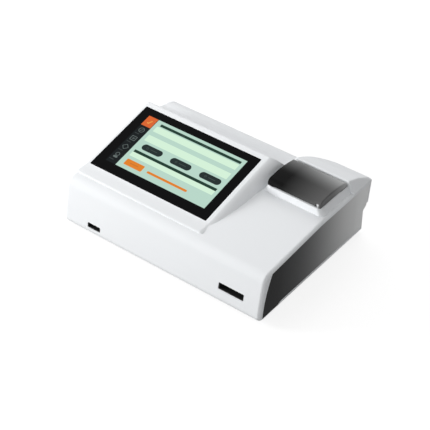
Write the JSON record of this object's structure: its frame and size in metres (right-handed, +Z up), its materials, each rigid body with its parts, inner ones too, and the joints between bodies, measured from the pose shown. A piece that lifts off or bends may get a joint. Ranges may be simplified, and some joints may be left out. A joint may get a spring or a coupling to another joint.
{
  "type": "fluorescence immunoassay analyzer",
  "caption": "Bench analyzer with a sloped touch screen, a test card slot, a lot chip slot and a receipt printer under a hinged smoked lid.",
  "frame": {"origin": "on the ground under the middle of the analyzer", "axes": "+X to the analyzer's right, +Y to its back, +Z up"},
  "size_m": [0.296, 0.2246, 0.0948],
  "materials": {
    "white_shell": "satin",
    "pan_grey": "fine texture",
    "side_gloss": "high gloss",
    "rear_dark": "fine texture",
    "foot_rubber": "matt",
    "screw_steel": "zinc plated",
    "cover_glass": "black border, clear centre",
    "display": "lit",
    "sheet_steel": "folded sheet",
    "circuit_green": "solder mask",
    "connector_black": "moulded",
    "connector_steel": "tinned",
    "rocker_black": "gloss",
    "ground_steel": "ground",
    "carriage_grey": "moulded",
    "tray_black": "fine texture",
    "pulley_metal": "turned",
    "belt_rubber": "matt",
    "motor_can": "drawn can",
    "head_black": "light absorbing",
    "lens_glass": "polished",
    "dichroic": "coated",
    "filter_glass": "coated",
    "led_clear": "clear cast",
    "lid_smoke": "smoked gloss",
    "printer_black": "moulded",
    "heater_ceramic": "glazed",
    "platen_rubber": "ground",
    "bush_plastic": "self lubricating",
    "button_white": "gloss"
  },
  "bodies": {
    "base": {"upper_housing": "white_shell", "base_pan": "pan_grey", "side_panel_right": "side_gloss", "side_panel_left": "side_gloss", "rear_panel": "rear_dark", "switch_body": "rear_dark", "rubber_feet": "foot_rubber", "base_screws": "screw_steel", "inner_screws": "screw_steel", "bracket_screws": "screw_steel", "touch_glass": "cover_glass", "lcd_module": "display", "lcd_bracket": "sheet_steel", "reader_chassis": "sheet_steel", "motor_bracket": "sheet_steel", "head_bridge": "sheet_steel", "main_board": "circuit_green", "chip_board": "circuit_green", "detector_board": "circuit_green", "power_inlet": "connector_black", "chip_socket": "connector_black", "home_sensor": "connector_black", "usb_port_left": "connector_steel", "usb_port_right": "connector_steel", "network_port": "connector_steel", "guide_rod_left": "ground_steel", "guide_rod_right": "ground_steel", "idler_pin": "ground_steel", "lid_hinge_pin": "ground_steel", "card_guide": "tray_black", "drive_belt": "belt_rubber", "stepper_motor": "motor_can", "optical_head": "head_black", "objective_lens": "lens_glass", "dichroic_mirror": "dichroic", "emission_filter": "filter_glass", "excitation_led": "led_clear", "printer_chassis": "printer_black", "thermal_head": "heater_ceramic"},
    "lid": {"printer_lid": "lid_smoke", "platen_bushes": "bush_plastic"},
    "platen": {"platen_roller": "platen_rubber", "platen_shaft": "ground_steel"},
    "button": {"lid_button": "button_white"},
    "rocker": {"power_rocker": "rocker_black"},
    "carriage_unit": {"carriage": "carriage_grey", "card_tray": "tray_black", "belt_clamp": "carriage_grey"},
    "drive": {"drive_pulley": "pulley_metal"},
    "idler": {"idler_pulley": "pulley_metal"}
  },
  "joints": [
    {"name": "lid_hinge", "type": "hinge", "parent": "base", "child": "lid", "pos_m": [0.0997, 0.0675, 0.0824], "axis": [-1, 0, 0], "range_deg": [0, 85]},
    {"name": "platen_spin", "type": "hinge", "parent": "lid", "child": "platen", "pos_m": [0.0997, 0.028, 0.0852], "axis": [1, 0, 0], "continuous": true},
    {"name": "button_press", "type": "slide", "parent": "base", "child": "button", "axis": [0, 0, -1], "range_m": [0, 0.0012], "stiffness_N_per_m": 600},
    {"name": "rocker_tip", "type": "hinge", "parent": "base", "child": "rocker", "pos_m": [0.036, 0.1005, 0.02], "axis": [0, 0, 1], "range_deg": [0, 22]},
    {"name": "carriage_slide", "type": "slide", "parent": "base", "child": "carriage_unit", "axis": [0, 1, 0], "range_m": [0, 0.045]},
    {"name": "drive_spin", "type": "hinge", "parent": "base", "child": "drive", "pos_m": [0.066, 0.005, 0.024], "axis": [1, 0, 0], "range_deg": [-5, 470]},
    {"name": "idler_spin", "type": "hinge", "parent": "base", "child": "idler", "pos_m": [0.066, -0.086, 0.024], "axis": [1, 0, 0], "range_deg": [-5, 470]}
  ],
  "couplings": [
    {"joint": "drive_spin", "follows": "carriage_slide", "rad_per_m": 174.53},
    {"joint": "idler_spin", "follows": "carriage_slide", "rad_per_m": 174.53}
  ]
}
